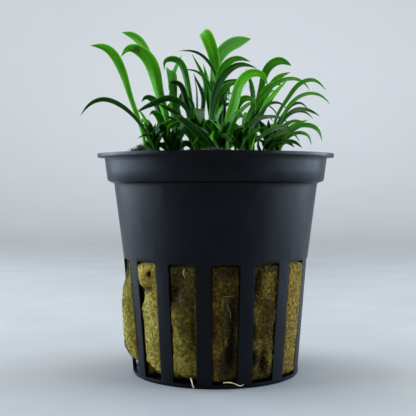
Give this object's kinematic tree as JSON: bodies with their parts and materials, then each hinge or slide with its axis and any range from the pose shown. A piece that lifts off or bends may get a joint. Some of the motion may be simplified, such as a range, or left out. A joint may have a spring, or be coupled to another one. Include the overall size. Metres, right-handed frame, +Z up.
{
  "type": "potted aquarium plant",
  "caption": "Dwarf cryptocoryne: narrow arching green leaves rooted in a plug of rock wool, in a round black net pot with a lip, a collar and tall side slots.",
  "frame": {"origin": "centre of the net pot's flat underside, on the pot's axis", "axes": "+Z up along the pot's axis; the side that the picture shows faces -Y, with +X to its right"},
  "size_m": [0.058, 0.0555, 0.0824],
  "materials": {
    "black_plastic": "moulded polypropylene, black with a slate blue tint, satin sheen",
    "rock_wool": "damp mineral fibre, ochre, olive and brown, matt",
    "leaf_green": "living leaf, mid to dark green, smooth and glossy",
    "crown_green": "young leaf and short stem, pale yellow green, satin",
    "root_cream": "root, cream to red brown, satin",
    "moss_brown": "loose brown and green moss, matt"
  },
  "bodies": {
    "root": {"net_pot": "black_plastic", "rock_wool": "rock_wool", "plant_1_crown": "crown_green", "plant_1_leaf_1": "leaf_green", "plant_1_leaf_2": "leaf_green", "plant_1_leaf_3": "leaf_green", "plant_1_leaf_4": "leaf_green", "plant_2_crown": "crown_green", "plant_2_leaf_1": "leaf_green", "plant_2_leaf_2": "leaf_green", "plant_2_leaf_3": "leaf_green", "plant_2_leaf_4": "leaf_green", "plant_2_leaf_5": "leaf_green", "plant_2_leaf_6": "leaf_green", "plant_3_crown": "crown_green", "plant_3_leaf_1": "leaf_green", "plant_3_leaf_2": "leaf_green", "plant_3_leaf_3": "leaf_green", "plant_3_leaf_4": "leaf_green", "plant_3_leaf_5": "leaf_green", "plant_3_leaf_6": "leaf_green", "plant_3_leaf_7": "leaf_green", "plant_4_crown": "crown_green", "plant_4_leaf_1": "leaf_green", "plant_4_leaf_2": "leaf_green", "plant_4_leaf_3": "leaf_green", "plant_4_leaf_4": "leaf_green", "plant_4_leaf_5": "leaf_green", "plant_4_leaf_6": "leaf_green", "plant_4_leaf_7": "leaf_green", "plant_5_crown": "crown_green", "plant_5_leaf_1": "leaf_green", "plant_5_leaf_2": "leaf_green", "plant_5_leaf_3": "leaf_green", "plant_5_leaf_4": "leaf_green", "plant_5_leaf_5": "leaf_green", "plant_5_leaf_6": "leaf_green", "plant_5_leaf_7": "leaf_green", "plant_6_crown": "crown_green", "plant_6_leaf_1": "leaf_green", "plant_6_leaf_2": "leaf_green", "plant_6_leaf_3": "leaf_green", "plant_6_leaf_4": "leaf_green", "plant_6_leaf_5": "leaf_green", "plant_6_leaf_6": "leaf_green", "plant_6_leaf_7": "leaf_green", "plant_7_crown": "crown_green", "plant_7_leaf_1": "leaf_green", "plant_7_leaf_2": "leaf_green", "plant_7_leaf_3": "leaf_green", "plant_7_leaf_4": "leaf_green", "plant_7_leaf_5": "leaf_green", "plant_7_leaf_6": "leaf_green", "plant_7_leaf_7": "leaf_green", "root_1": "root_cream", "root_2": "root_cream", "root_3": "root_cream", "moss_heap": "moss_brown", "wool_tuft": "rock_wool"}
  },
  "joints": []
}
